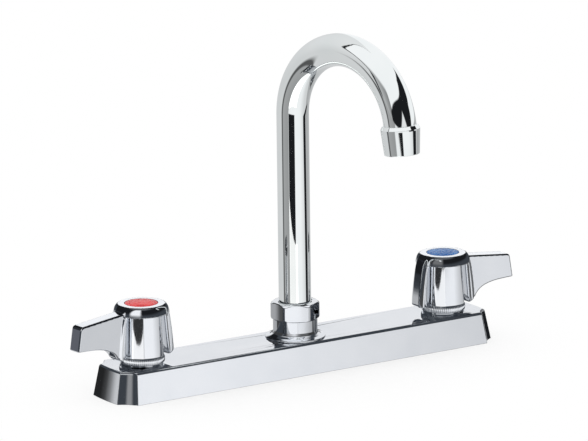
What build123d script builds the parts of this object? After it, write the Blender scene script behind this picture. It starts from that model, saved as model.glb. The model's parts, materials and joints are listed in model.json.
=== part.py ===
from build123d import *
from math import cos, radians, sin, sqrt
import os

# Two-handle kitchen faucet on 8-inch centres, all in millimetres.
# Origin: centre of the base's underside, on the deck. +Z up, +X along the base to the cold
# side, -Y towards the user.

# Driving dimensions
CENTRES = 203.2
TUBE_OD = 18.3
TUBE_WALL = 1.0
BEND_RADIUS = 42.0
BEND_ANGLE = 174.7
BEND_START = 146.5
SPOUT_YAW = 12.0
FIT_GAP = 0.05

# Base cover: a drafted shell, open below, with a shallow flute at each corner
COVER_HEIGHT = 17.8
COVER_FOOT = (253.6, 42.8)
COVER_TOP = (246.8, 36.4)
COVER_WALL = 2.8
FOOT_CUT = 8.8
TOP_CUT = 7.2
FLUTE_DEPTH = 0.9
COVER_EDGE = 1.6
OVERCUT = 1.0
DRAFT_PER_MM = (COVER_FOOT[1] - COVER_TOP[1]) / COVER_HEIGHT
GASKET_THICK = 2.0
GASKET_PLAY = 0.6
HOLE_PLAY = 0.2
SOCKET_HOLE_R = 11.1

# Valve bodies: cast brass, each with a threaded shank that passes through the deck
CEILING = COVER_HEIGHT - COVER_WALL
VALVE_R = 14.5
NECK_R = 9.0
NECK_TOP = 24.0
SHANK_R = 10.45
SHANK_NECK_R = 10.2
SHANK_END = -46.0
DECK_THICK = 8.0
INLET_R = 6.35
SEAT_R = 4.5
SEAT_Z = 4.0
SEAT_WALL = 1.5
CARTRIDGE_R = 7.6
SHANK_CHAMFER = 1.0
SHANK_RELIEF = 0.5
BODY_EDGE = 0.8
CROSS_Z = 7.2
CROSS_OD = 8.0
CROSS_WALL = 1.0
SOCKET_DEPTH = 5.0
END_PLAY = 0.5

# Ceramic cartridges
DISC_R = 6.4
DISC_THICK = 2.4
SEAL_TOP = 5.6
PORT_RING = 3.6
PORT_LENGTH = 4.6
PORT_WIDTH = 2.6
WINDOW = (7.0, 3.6)
WINDOW_CORNER = 1.6
BONNET_HEX = 17.0
BONNET_HEX_TOP = 29.0
BONNET_TOP = 34.5
BONNET_NOSE_R = 6.6
BONNET_EDGE = 0.6
BONNET_SHOULDER = 20.0
STEM_R = 4.0
STEM_TOP = 45.0
STEM_SPLINES = 20
SPLINE_SIZE = 0.5
STEM_TAP_R = 1.75
STEM_TAP_DEPTH = 9.0
GROOVE_R = 5.2
GROOVE_LOW = 4.0
GROOVE_HIGH = 6.0
STEM_RING = 1.1

# Sleeve round each cartridge: a ribbed ring on the cover and a slim cone above it
SLEEVE_FOOT_R = 11.6
SLEEVE_WALL = 1.2
SLEEVE_MOUTH_R = 7.8
RING_BOTTOM = 18.8
RING_TOP = 22.4
RING_R = 12.4
RING_RIBS = 72
RIB_SIZE = 0.5
SLEEVE_STEP = 0.4
CONE_TOP_R = 10.9
CONE_TOP = 46.6

# Handles: a round cap flared to a lip, a leg down each side of the sleeve, and a flat lever
RIM_R = 14.0
RIM_Z = 52.2
LIP_R = 15.8
LIP_Z = 48.2
CAP_WALL = 1.6
LIP_EDGE = 0.6
HOLLOW_DEPTH = 0.8
LEG_HALF = 5.0
LEG_CORNER = 2.4
LEG_SHOULDER = (16.3, 47.8)
LEG_FOOT = (19.4, 23.4)
LEG_MIDDLE = (18.4, 34.5)
LEG_INNER_FOOT = (14.8, 20.5)
LEG_INNER_TOP = (12.8, 44.8)
LEG_ARCH = 3.6
LEG_CROWN = 0.8
LEG_ROOT = 5.0
CROWN_DROP = 0.3
HOT_REST = 5.0
LEVER_THICK = 8.8
LEVER_EDGE = 0.9
LEVER_NOSE = (1.1, 1.2)
LEVER_ROOT = (13.5, 49.3)
LEVER_TIP = (43.5, 45.9)
LEVER_END = (46.6, 31.6)
LEVER_UNDER = ((34.0, 31.0), (25.0, 29.1))
LEVER_HEEL = (18.6, 23.6)
LEVER_BACK = ((17.4, 23.6), (15.0, 46.0))
LEVER_BEYOND = 26.0
HUB_R = 6.9
HUB_BOTTOM = 35.4
HUB_CEILING = STEM_TOP + 0.4
INDEX_R = 9.3
INDEX_THICK = 1.9
INDEX_CROWN = 0.5
SCREW_R = 1.7
SCREW_HEAD_R = 3.6
SCREW_HOLE_R = 2.3
SCREW_WELL_R = 4.0
SCREW_DEPTH = 8.0
SCREW_SEAT = STEM_TOP + 1.2
SCREW_BRIM = 1.0
SCREW_HEAD = 2.3
CROSS_RECESS = (3.6, 0.9)
COVER_NUT_R = 10.6
COVER_NUT_THICK = 3.0
SPANNER_SLOT = (1.6, 3.0)

# Below the deck
WASHER_R = 19.0
WASHER_THICK = 1.6
WASHER_PLAY = 0.3
LOCKNUT_FLANGE_R = 16.5
LOCKNUT_FLATS = 28.6
LOCKNUT_HEX = 5.2

# Spout socket, union nut and swivel
FLANGE_R = 17.1
FLANGE_TOP = 19.8
COLLAR_R = 12.6
COLLAR_TOP = 28.6
SWIVEL_R = 10.0
UNION_THREAD_R = 11.1
NUT_FLATS = 24.8
NUT_CORNER_R = 13.95
NUT_TOP = 38.2
NUT_TURN = 31.6
SOCKET_BOTTOM = 12.0
TAIL_BOTTOM = 13.0
TUBE_START = 25.0
TAIL_BORE = 6.2
TAIL_INSIDE = 8.0
O_RING = 1.5
O_RING_HEIGHTS = (16.5, 21.0)
O_RING_GROOVE = (3.2, 2.0)
SOCKET_WALL = 0.9
HUB_BORE = 7.0
FLANGE_RIM = 0.7
UNION_THREAD = 4.0
NUT_CHAMFER = (1.6, 0.9)
NUT_LIP = 2.2
NUT_LIP_PLAY = 0.2
RING_GROOVE = (0.8, 1.4)
RING_GROOVE_Z = 31.4
SPLIT_RING_THICK = 1.3
SPLIT_RING_R = 9.95
SPLIT_RING_WIDTH = 1.15
SPLIT_GAP = (2.4, 4.0)

# Aerator
AERATOR_TOP_R = 11.0
AERATOR_END_R = 9.9
AERATOR_LENGTH = 14.4
AERATOR_SHOULDER = 1.8
AERATOR_OVERLAP = 7.0
AERATOR_RIM = (0.2, 0.8)
AERATOR_LIP = 1.1
AERATOR_EDGE = 0.3
WASHER_INNER_R = 6.6
AERATOR_WASHER = 1.5
JET_R = 0.9
JET_RINGS = ((2.6, 6), (5.2, 12))

os.makedirs("parts", exist_ok=True)


def save(builder, name):
    builder.part.label = name
    export_step(builder.part, f"parts/{name}.step")


def upright(x, way=1, swing=0.0):
    """The vertical plane through a point of the X axis, swung towards the user: x is radial, y is up."""
    radial = (way * cos(radians(swing)), -sin(radians(swing)), 0)
    return Plane(origin=(x, 0, 0), x_dir=radial, z_dir=(radial[1], -radial[0], 0))


def upright_axis(x):
    return Axis((x, 0, 0), (0, 0, 1))


def across(x, way):
    """The plane of a cross tube's section, at the tubes' height."""
    return Plane(origin=(x, 0, CROSS_Z), x_dir=(0, 1, 0), z_dir=(way, 0, 0))


def turned(outline, x=0.0):
    """A piece turned about a vertical axis from its half section."""
    with BuildPart() as piece:
        with BuildSketch(upright(x)):
            with BuildLine():
                Polyline(*outline, close=True)
            make_face()
        revolve(axis=upright_axis(x))
    return piece


def ring_outline(inner, outer, low, high):
    return [(inner, low), (outer, low), (outer, high), (inner, high)]


def cover_outline(length, width, cut, flute):
    """The base's plan: straight sides and ends, joined by a shallow concave flute at each corner."""
    a = length / 2
    b = width / 2
    side = b - cut
    for sx in (1, -1):
        Line((sx * a, -side), (sx * a, side))
        Line((-a + cut, sx * b), (a - cut, sx * b))
        for sy in (1, -1):
            sag = flute / sqrt(2)
            middle = (sx * (a - cut / 2 - sag), sy * (b - cut / 2 - sag))
            ThreePointArc((sx * a, sy * side), middle, (sx * (a - cut), sy * b))


# The base cover: loft from foot to top, soften the top edge, then hollow it from below
inset = 2 * COVER_WALL
ceiling_draft = DRAFT_PER_MM * CEILING
with BuildPart() as deck_cover:
    with BuildSketch():
        with BuildLine():
            cover_outline(*COVER_FOOT, FOOT_CUT, FLUTE_DEPTH)
        make_face()
    with BuildSketch(Plane.XY.offset(COVER_HEIGHT)):
        with BuildLine():
            cover_outline(*COVER_TOP, TOP_CUT, FLUTE_DEPTH)
        make_face()
    loft(ruled=True)
    fillet(deck_cover.faces().sort_by(Axis.Z)[-1].edges(), COVER_EDGE)
    with BuildSketch():
        with BuildLine():
            cover_outline(COVER_FOOT[0] - inset, COVER_FOOT[1] - inset, FOOT_CUT, FLUTE_DEPTH)
        make_face()
    with BuildSketch(Plane.XY.offset(CEILING)):
        with BuildLine():
            length = COVER_FOOT[0] - inset - ceiling_draft
            width = COVER_FOOT[1] - inset - ceiling_draft
            cover_outline(length, width, TOP_CUT, FLUTE_DEPTH)
        make_face()
    loft(ruled=True, mode=Mode.SUBTRACT)
    with BuildSketch(Plane.XY.offset(CEILING - OVERCUT)):
        with Locations((-CENTRES / 2, 0), (CENTRES / 2, 0)):
            Circle(NECK_R + HOLE_PLAY)
        Circle(SOCKET_HOLE_R)
    extrude(amount=COVER_WALL + 2 * OVERCUT, mode=Mode.SUBTRACT)
save(deck_cover, "deck_cover")

# The gasket lies inside the cover's foot and closes the underside round the shanks
gasket_inset = inset + GASKET_PLAY + DRAFT_PER_MM * GASKET_THICK
with BuildPart() as deck_gasket:
    with BuildSketch():
        with BuildLine():
            length = COVER_FOOT[0] - gasket_inset
            width = COVER_FOOT[1] - gasket_inset
            cover_outline(length, width, FOOT_CUT, FLUTE_DEPTH)
        make_face()
        with Locations((-CENTRES / 2, 0), (CENTRES / 2, 0)):
            Circle(SHANK_NECK_R + HOLE_PLAY, mode=Mode.SUBTRACT)
    extrude(amount=GASKET_THICK)
save(deck_gasket, "deck_gasket")


def valve_body(x, inward):
    """One casting: shank, seat, cartridge bore, cover neck and the port to the cross tube."""
    with BuildPart() as body:
        with BuildSketch(upright(x)):
            with BuildLine():
                Polyline(
                    (0, SHANK_END), (SHANK_R - SHANK_CHAMFER, SHANK_END),
                    (SHANK_R, SHANK_END + SHANK_CHAMFER),
                    (SHANK_R, -DECK_THICK + SHANK_RELIEF), (SHANK_NECK_R, -DECK_THICK + SHANK_RELIEF + 0.3),
                    (SHANK_NECK_R, GASKET_THICK), (VALVE_R, GASKET_THICK), (VALVE_R, CEILING),
                    (NECK_R, CEILING), (NECK_R, NECK_TOP), (0, NECK_TOP), close=True,
                )
            make_face()
        revolve(axis=upright_axis(x))
        fillet(body.faces().filter_by(GeomType.CYLINDER).sort_by(SortBy.RADIUS)[-1].edges(), BODY_EDGE)
        with BuildSketch(Plane.XY.offset(SHANK_END)):
            with Locations((x, 0)):
                Circle(INLET_R)
        extrude(amount=SEAT_Z - SEAT_WALL - SHANK_END, mode=Mode.SUBTRACT)
        with BuildSketch(Plane.XY.offset(SEAT_Z - SEAT_WALL - OVERCUT)):
            with Locations((x, 0)):
                Circle(SEAT_R)
        extrude(amount=SEAT_WALL + 2 * OVERCUT, mode=Mode.SUBTRACT)
        with BuildSketch(Plane.XY.offset(SEAT_Z)):
            with Locations((x, 0)):
                Circle(CARTRIDGE_R + FIT_GAP)
        extrude(amount=NECK_TOP, mode=Mode.SUBTRACT)
        with BuildSketch(across(x, inward)):
            Circle(CROSS_OD / 2 - CROSS_WALL)
        extrude(amount=VALVE_R + OVERCUT, mode=Mode.SUBTRACT)
        with BuildSketch(across(x + inward * (VALVE_R - SOCKET_DEPTH), inward)):
            Circle(CROSS_OD / 2 + FIT_GAP)
        extrude(amount=SOCKET_DEPTH + OVERCUT, mode=Mode.SUBTRACT)
    return body


def cartridge_bonnet(x):
    """Brass housing of the ceramic cartridge: windows at the discs, a hex and a nose round the stem."""
    with BuildPart() as bonnet:
        with BuildSketch(upright(x)):
            with BuildLine():
                Polyline(
                    (DISC_R + FIT_GAP, SEAL_TOP), (CARTRIDGE_R, SEAL_TOP), (CARTRIDGE_R, NECK_TOP),
                    (BONNET_HEX / 2, NECK_TOP), (BONNET_HEX / 2, BONNET_HEX_TOP),
                    (BONNET_NOSE_R, BONNET_HEX_TOP + BONNET_EDGE), (BONNET_NOSE_R, BONNET_TOP - BONNET_EDGE),
                    (BONNET_NOSE_R - BONNET_EDGE, BONNET_TOP), (STEM_R + FIT_GAP, BONNET_TOP),
                    (STEM_R + FIT_GAP, BONNET_SHOULDER), (DISC_R + FIT_GAP, BONNET_SHOULDER), close=True,
                )
            make_face()
        revolve(axis=upright_axis(x))
        with BuildSketch(Plane.XY.offset(NECK_TOP)):
            with Locations((x, 0)):
                RegularPolygon(BONNET_HEX / 2, 6, major_radius=False)
                Circle(BONNET_HEX / 2 - OVERCUT, mode=Mode.SUBTRACT)
        extrude(amount=BONNET_HEX_TOP - NECK_TOP)
        with BuildSketch(across(x, 1)):
            RectangleRounded(*WINDOW, WINDOW_CORNER)
        extrude(amount=CARTRIDGE_R + OVERCUT, both=True, mode=Mode.SUBTRACT)
    return bonnet


def ceramic_disc(x, low):
    """A polished disc with two opposite quarter ports."""
    with BuildPart() as disc:
        with BuildSketch(Plane.XY.offset(low)):
            with Locations((x, 0)):
                Circle(DISC_R)
                for start in (45, 225):
                    with PolarLocations(PORT_RING, 1, start_angle=start):
                        SlotOverall(PORT_LENGTH, PORT_WIDTH, rotation=90, mode=Mode.SUBTRACT)
        extrude(amount=DISC_THICK)
    return disc


def stem(x):
    """Cartridge stem: driving foot, O-ring groove, journal and splined end with a screw hole."""
    foot = SEAL_TOP + 2 * DISC_THICK
    body_r = DISC_R - 2 * FIT_GAP
    low = foot + GROOVE_LOW
    high = foot + GROOVE_HIGH
    shoulder = BONNET_SHOULDER - 4 * FIT_GAP
    with BuildPart() as spindle:
        with BuildSketch(upright(x)):
            with BuildLine():
                Polyline(
                    (0, foot), (body_r, foot), (body_r, low), (GROOVE_R, low), (GROOVE_R, high),
                    (body_r, high), (body_r, shoulder), (STEM_R, shoulder), (STEM_R, STEM_TOP - SPLINE_SIZE),
                    (STEM_R - SPLINE_SIZE, STEM_TOP), (0, STEM_TOP), close=True,
                )
            make_face()
        revolve(axis=upright_axis(x))
        with BuildSketch(Plane.XY.offset(BONNET_TOP + SEAT_WALL)):
            with Locations((x, 0)):
                with PolarLocations(STEM_R, STEM_SPLINES):
                    Rectangle(SPLINE_SIZE, SPLINE_SIZE, rotation=45)
        extrude(amount=STEM_TOP - BONNET_TOP, mode=Mode.SUBTRACT)
        with BuildSketch(Plane.XY.offset(STEM_TOP - STEM_TAP_DEPTH)):
            with Locations((x, 0)):
                Circle(STEM_TAP_R)
        extrude(amount=STEM_TAP_DEPTH + OVERCUT, mode=Mode.SUBTRACT)
    return spindle


def o_ring(x, radius, z, thick):
    with BuildPart() as ring:
        with BuildSketch(upright(x)):
            with Locations((radius, z)):
                Circle(thick / 2)
        revolve(axis=upright_axis(x))
    return ring


def sleeve(x):
    """Turned sleeve between the cover and the handle: foot, ribbed ring and cone, open at the top."""
    inner_r = COVER_NUT_R + FIT_GAP
    cone_inner_r = RING_R - SLEEVE_STEP / 2 - SLEEVE_WALL
    bevel = SLEEVE_STEP * 0.75
    with BuildPart() as shell:
        with BuildSketch(upright(x)):
            with BuildLine():
                Polyline(
                    (CONE_TOP_R - 1, CONE_TOP), (SLEEVE_MOUTH_R, CONE_TOP),
                    (SLEEVE_MOUTH_R, CONE_TOP - SLEEVE_WALL),
                    (CONE_TOP_R - SLEEVE_WALL, CONE_TOP - SLEEVE_WALL),
                    (cone_inner_r, RING_TOP), (inner_r, RING_TOP - 1), (inner_r, COVER_HEIGHT),
                    (SLEEVE_FOOT_R, COVER_HEIGHT), (SLEEVE_FOOT_R, RING_BOTTOM),
                    (RING_R - SLEEVE_STEP, RING_BOTTOM), (RING_R, RING_BOTTOM + SLEEVE_STEP),
                    (RING_R, RING_TOP), (RING_R - bevel, RING_TOP + bevel), (CONE_TOP_R, CONE_TOP - 1),
                )
                RadiusArc((CONE_TOP_R, CONE_TOP - 1), (CONE_TOP_R - 1, CONE_TOP), -1)
            make_face()
        revolve(axis=upright_axis(x))
        with BuildSketch(Plane.XY.offset(RING_BOTTOM)):
            with Locations((x, 0)):
                with PolarLocations(RING_R, RING_RIBS):
                    Rectangle(RIB_SIZE, RIB_SIZE)
        extrude(amount=RING_TOP - RING_BOTTOM - bevel)
    return shell


def leg_outline(way):
    """One leg's side view: bowed outside, arched over the sleeve inside, with a sloping foot."""
    crown = (way * (RIM_R - LEG_CROWN), RIM_Z - CROWN_DROP)
    inner = way * (LIP_R - LEG_ROOT)
    arch = (way * LEG_INNER_TOP[0], LEG_INNER_TOP[1])
    toe = (way * LEG_FOOT[0], LEG_FOOT[1])
    Spline(toe, (way * LEG_MIDDLE[0], LEG_MIDDLE[1]), (way * LEG_SHOULDER[0], LEG_SHOULDER[1]), crown)
    Polyline(crown, (inner, RIM_Z - CROWN_DROP), (inner, LIP_Z))
    RadiusArc((inner, LIP_Z), arch, way * LEG_ARCH)
    Polyline(arch, (way * LEG_INNER_FOOT[0], LEG_INNER_FOOT[1]), toe)


def handle(x, out, rest):
    """Canopy handle: a cap flared to its lip, two legs beside the sleeve, a hub and a flat lever."""
    side = upright(x, out, rest)
    cap_edge = LIP_R - CAP_WALL
    hollow_top = LIP_Z + HOLLOW_DEPTH
    stem_bore = STEM_R + FIT_GAP
    recess_r = INDEX_R + FIT_GAP
    with BuildPart() as canopy:
        # legs, rounded at their outer corners
        with BuildSketch(side):
            for way in (1, -1):
                with BuildLine():
                    leg_outline(way)
                make_face()
        extrude(amount=LEG_HALF, both=True)
        fillet(canopy.edges().filter_by(GeomType.BSPLINE), LEG_CORNER)
        # cap, hollow under its lip
        with BuildSketch(side):
            with BuildLine():
                Polyline(
                    (LIP_R, LIP_Z + LIP_EDGE), (LIP_R - LIP_EDGE, LIP_Z), (cap_edge, LIP_Z),
                    (cap_edge - CAP_WALL, RIM_Z - INDEX_THICK - 0.3), (INDEX_R + 0.5, hollow_top),
                    (HUB_R, hollow_top), (HUB_R, HUB_BOTTOM), (0, HUB_BOTTOM), (0, RIM_Z + OVERCUT / 2),
                    (RIM_R - LEG_CROWN, RIM_Z),
                )
                Spline(
                    (RIM_R - LEG_CROWN, RIM_Z), (RIM_R + 1, RIM_Z - 1.7), (LIP_R, LIP_Z + LIP_EDGE),
                    tangents=((1, -0.1), (0.1, -1)),
                )
            make_face()
        revolve(axis=upright_axis(x))
        # lever blade with softened edges
        corner = (LEVER_TIP[0] + LEVER_NOSE[0], LEVER_TIP[1] - LEVER_NOSE[1])
        with BuildSketch(side.offset(-LEVER_THICK / 2)):
            with BuildLine():
                Polyline(LEVER_HEEL, *LEVER_BACK, LEVER_ROOT, LEVER_TIP)
                Spline(LEVER_TIP, corner, tangents=((1, -0.1), (0.1, -1)))
                Line(corner, LEVER_END)
                Spline(LEVER_END, *LEVER_UNDER, LEVER_HEEL, tangents=((-1, -0.05), (-0.3, -1)))
            make_face()
        extrude(amount=LEVER_THICK)
        fillet([edge for edge in canopy.edges() if out * (edge.center().X - x) > LEVER_BEYOND], LEVER_EDGE)
        # bore for the stem, seat for the screw and recess for the index
        with BuildSketch(side):
            with BuildLine():
                Polyline(
                    (0, HUB_BOTTOM - OVERCUT), (stem_bore, HUB_BOTTOM - OVERCUT), (stem_bore, HUB_CEILING),
                    (SCREW_HOLE_R, HUB_CEILING), (SCREW_HOLE_R, SCREW_SEAT), (SCREW_WELL_R, SCREW_SEAT),
                    (SCREW_WELL_R, RIM_Z - INDEX_THICK), (recess_r, RIM_Z - INDEX_THICK),
                    (recess_r, RIM_Z + 2 * OVERCUT), (0, RIM_Z + 2 * OVERCUT), close=True,
                )
            make_face()
        revolve(axis=upright_axis(x), mode=Mode.SUBTRACT)
    return canopy


def index_button(x):
    """Coloured disc pressed into the handle's top, slightly crowned."""
    crown = (0, RIM_Z + INDEX_CROWN)
    edge = (INDEX_R, RIM_Z - 0.1)
    with BuildPart() as button:
        with BuildSketch(upright(x)):
            with BuildLine():
                Polyline(crown, (0, RIM_Z - INDEX_THICK), (INDEX_R, RIM_Z - INDEX_THICK), edge)
                Spline(edge, crown, tangents=((-1, 0.15), (-1, 0)))
            make_face()
        revolve(axis=upright_axis(x))
    return button


def handle_screw(x):
    """Pan-head screw with a cross recess, through the hub into the stem."""
    tip = STEM_TOP - SCREW_DEPTH
    brim = (SCREW_HEAD_R, SCREW_SEAT + SCREW_BRIM)
    dome = (0, SCREW_SEAT + SCREW_HEAD)
    with BuildPart() as screw:
        with BuildSketch(upright(x)):
            with BuildLine():
                Polyline((0, tip), (SCREW_R, tip), (SCREW_R, SCREW_SEAT), (SCREW_HEAD_R, SCREW_SEAT), brim)
                ThreePointArc(brim, (SCREW_HEAD_R * 0.7, SCREW_SEAT + SCREW_HEAD * 0.87), dome)
                Line(dome, (0, tip))
            make_face()
        revolve(axis=upright_axis(x))
        with BuildSketch(Plane.XY.offset(brim[1] + 0.1)):
            with Locations((x, 0)):
                Rectangle(CROSS_RECESS[0], CROSS_RECESS[1])
                Rectangle(CROSS_RECESS[1], CROSS_RECESS[0])
        extrude(amount=SCREW_HEAD, mode=Mode.SUBTRACT)
    return screw


def cover_nut(x):
    """Round nut with spanner slots that clamps the cover on the valve body's neck."""
    with BuildPart() as nut:
        with BuildSketch(Plane.XY.offset(COVER_HEIGHT)):
            with Locations((x, 0)):
                Circle(COVER_NUT_R)
                Circle(NECK_R + FIT_GAP, mode=Mode.SUBTRACT)
                with PolarLocations(COVER_NUT_R, 4, start_angle=45):
                    Rectangle(*SPANNER_SLOT, mode=Mode.SUBTRACT)
        extrude(amount=COVER_NUT_THICK)
    return nut


def deck_washer(x):
    """Plain steel washer under the deck."""
    with BuildPart() as washer:
        with BuildSketch(Plane.XY.offset(-DECK_THICK)):
            with Locations((x, 0)):
                Circle(WASHER_R)
                Circle(SHANK_R + WASHER_PLAY, mode=Mode.SUBTRACT)
        extrude(amount=-WASHER_THICK)
    return washer


def locknut(x):
    """Hex locknut with a round flange against the washer."""
    top = -DECK_THICK - WASHER_THICK
    with BuildPart() as nut:
        with BuildSketch(Plane.XY.offset(top)):
            with Locations((x, 0)):
                Circle(LOCKNUT_FLANGE_R)
        extrude(amount=-WASHER_THICK)
        with BuildSketch(Plane.XY.offset(top - WASHER_THICK)):
            with Locations((x, 0)):
                RegularPolygon(LOCKNUT_FLATS / 2, 6, major_radius=False)
        extrude(amount=-LOCKNUT_HEX)
        with BuildSketch(Plane.XY.offset(top + OVERCUT)):
            with Locations((x, 0)):
                Circle(SHANK_R + FIT_GAP)
        extrude(amount=-(WASHER_THICK + LOCKNUT_HEX + 2 * OVERCUT), mode=Mode.SUBTRACT)
    return nut


# Everything that the hot and cold sides each have
seal_outline = ring_outline(SEAT_R, DISC_R, SEAT_Z, SEAL_TOP)
stem_ring_z = SEAL_TOP + 2 * DISC_THICK + (GROOVE_LOW + GROOVE_HIGH) / 2
stem_ring_r = DISC_R - FIT_GAP - STEM_RING / 2
for name, way, rest in (("hot", -1, HOT_REST), ("cold", 1, 0)):
    x = way * CENTRES / 2
    save(valve_body(x, -way), f"{name}_valve_body")
    save(turned(seal_outline, x), f"{name}_seat_seal")
    save(ceramic_disc(x, SEAL_TOP), f"{name}_fixed_disc")
    save(ceramic_disc(x, SEAL_TOP + DISC_THICK), f"{name}_moving_disc")
    save(cartridge_bonnet(x), f"{name}_bonnet")
    save(stem(x), f"{name}_stem")
    save(o_ring(x, stem_ring_r, stem_ring_z, STEM_RING), f"{name}_stem_o_ring")
    save(cover_nut(x), f"{name}_cover_nut")
    save(deck_washer(x), f"{name}_deck_washer")
    save(locknut(x), f"{name}_locknut")
    save(sleeve(x), f"{name}_sleeve")
    save(handle(x, way, rest), f"{name}_handle")
    save(index_button(x), f"{name}_index")
    save(handle_screw(x), f"{name}_handle_screw")
    tube_start = VALVE_R - SOCKET_DEPTH + END_PLAY
    with BuildPart() as cross_tube:
        with BuildSketch(across(way * tube_start, way)):
            Circle(CROSS_OD / 2)
            Circle(CROSS_OD / 2 - CROSS_WALL, mode=Mode.SUBTRACT)
        extrude(amount=CENTRES / 2 - 2 * tube_start)
    save(cross_tube, f"{name}_cross_tube")

# Brass hub where both cross tubes meet, with the thread that holds the spout socket
with BuildPart() as spout_hub:
    with BuildSketch(upright(0)):
        with BuildLine():
            Polyline(*ring_outline(0, VALVE_R, GASKET_THICK, CEILING), close=True)
        make_face()
    revolve(axis=Axis.Z)
    fillet(spout_hub.faces().filter_by(GeomType.CYLINDER).edges(), BODY_EDGE)
    with BuildSketch(Plane.XY.offset(GASKET_THICK + SEAT_WALL)):
        Circle(HUB_BORE)
    extrude(amount=COVER_HEIGHT, mode=Mode.SUBTRACT)
    with BuildSketch(Plane.XY.offset(SOCKET_BOTTOM)):
        Circle(SWIVEL_R + SOCKET_WALL + FIT_GAP)
    extrude(amount=COVER_HEIGHT, mode=Mode.SUBTRACT)
    for way in (-1, 1):
        passage = (CROSS_OD / 2 - CROSS_WALL, 0.0)
        pocket = (CROSS_OD / 2 + FIT_GAP, VALVE_R - SOCKET_DEPTH)
        for radius, start in (passage, pocket):
            with BuildSketch(across(way * start, way)):
                Circle(radius)
            extrude(amount=VALVE_R + OVERCUT, mode=Mode.SUBTRACT)
save(spout_hub, "spout_hub")

# Spout socket: a wide low flange on the cover, a plain collar and a thread for the union nut
socket_r = SWIVEL_R + SOCKET_WALL
flange_edge = (FLANGE_R, COVER_HEIGHT + FLANGE_RIM)
collar_foot = (COLLAR_R, FLANGE_TOP + 0.6)
thread_top = COLLAR_TOP + UNION_THREAD
with BuildPart() as spout_socket:
    with BuildSketch(upright(0)):
        with BuildLine():
            Polyline(
                (SWIVEL_R, SOCKET_BOTTOM), (socket_r, SOCKET_BOTTOM), (socket_r, COVER_HEIGHT),
                (FLANGE_R, COVER_HEIGHT), flange_edge,
            )
            ThreePointArc(flange_edge, (COLLAR_R + 1.6, FLANGE_TOP - 0.5), collar_foot)
            Polyline(
                collar_foot, (COLLAR_R, COLLAR_TOP), (UNION_THREAD_R, COLLAR_TOP),
                (UNION_THREAD_R, thread_top), (SWIVEL_R, thread_top), (SWIVEL_R, SOCKET_BOTTOM),
            )
        make_face()
    revolve(axis=Axis.Z)
save(spout_socket, "spout_socket")

# Union nut: a hexagon with turned corners, threaded below and lipped round the tube above
nut_bore = UNION_THREAD_R + FIT_GAP
lip_r = TUBE_OD / 2 + NUT_LIP_PLAY
with BuildPart() as spout_nut:
    with BuildSketch(Plane.XY.offset(COLLAR_TOP)):
        RegularPolygon(NUT_FLATS / 2, 6, major_radius=False, rotation=NUT_TURN)
    extrude(amount=NUT_TOP - COLLAR_TOP)
    with BuildSketch(upright(0)):
        with BuildLine():
            Polyline(
                (0, COLLAR_TOP - OVERCUT), (COLLAR_R + 0.5, COLLAR_TOP - 0.2), (NUT_CORNER_R, COLLAR_TOP + 1),
                (NUT_CORNER_R, NUT_TOP - NUT_CHAMFER[0]), (NUT_FLATS / 2 - NUT_CHAMFER[1], NUT_TOP),
                (0, NUT_TOP + 0.01), close=True,
            )
        make_face()
    revolve(axis=Axis.Z, mode=Mode.INTERSECT)
    with BuildSketch(upright(0)):
        with BuildLine():
            Polyline(
                (0, COLLAR_TOP - OVERCUT), (nut_bore, COLLAR_TOP - OVERCUT), (nut_bore, NUT_TOP - NUT_LIP),
                (lip_r, NUT_TOP - NUT_LIP), (lip_r, NUT_TOP + OVERCUT), (0, NUT_TOP + OVERCUT), close=True,
            )
        make_face()
    revolve(axis=Axis.Z, mode=Mode.SUBTRACT)
save(spout_nut, "spout_nut")

# Spout tail: brass nipple inside the tube's foot, with two grooves for the O-rings
tail_r = SWIVEL_R - FIT_GAP
tube_bore = TUBE_OD / 2 - TUBE_WALL
with BuildPart() as spout_tail:
    with BuildSketch(upright(0)):
        with BuildLine():
            Polyline(*ring_outline(TAIL_BORE, tail_r, TAIL_BOTTOM, TUBE_START), close=True)
        make_face()
        with BuildLine():
            inside = ring_outline(TAIL_BORE, tube_bore - FIT_GAP, TUBE_START, TUBE_START + TAIL_INSIDE)
            Polyline(*inside, close=True)
        make_face()
        with Locations([(tail_r, z) for z in O_RING_HEIGHTS]):
            Rectangle(*O_RING_GROOVE, mode=Mode.SUBTRACT)
    revolve(axis=Axis.Z)
save(spout_tail, "spout_tail")

with BuildPart() as spout_o_rings:
    with BuildSketch(upright(0)):
        with Locations([(tail_r - O_RING / 2, z) for z in O_RING_HEIGHTS]):
            Circle(O_RING / 2)
    revolve(axis=Axis.Z)
save(spout_o_rings, "spout_o_rings")

# Gooseneck tube: straight riser and one long bend, swept along its centre line
yaw = radians(SPOUT_YAW)
outward = Vector(sin(yaw), -cos(yaw), 0)
bend = radians(BEND_ANGLE)


def on_bend(angle):
    """A point of the bend's centre line."""
    reach = outward * (BEND_RADIUS * (1 - cos(angle)))
    return reach + Vector(0, 0, BEND_START + BEND_RADIUS * sin(angle))


bend_end = on_bend(bend)
bend_middle = on_bend(bend / 2)
down = (outward * sin(bend) + Vector(0, 0, cos(bend))).normalized()
with BuildPart() as spout_tube:
    with BuildLine() as centre_line:
        Line((0, 0, TUBE_START), (0, 0, BEND_START))
        ThreePointArc((0, 0, BEND_START), bend_middle, bend_end)
        Line(bend_end, bend_end + down * AERATOR_OVERLAP)
    with BuildSketch(Plane.XY.offset(TUBE_START)):
        Circle(TUBE_OD / 2)
        Circle(TUBE_OD / 2 - TUBE_WALL, mode=Mode.SUBTRACT)
    sweep(path=centre_line.line)
    with BuildSketch(upright(0)):
        with Locations((TUBE_OD / 2, RING_GROOVE_Z)):
            Rectangle(*RING_GROOVE)
    revolve(axis=Axis.Z, mode=Mode.SUBTRACT)
save(spout_tube, "spout_tube")

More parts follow.
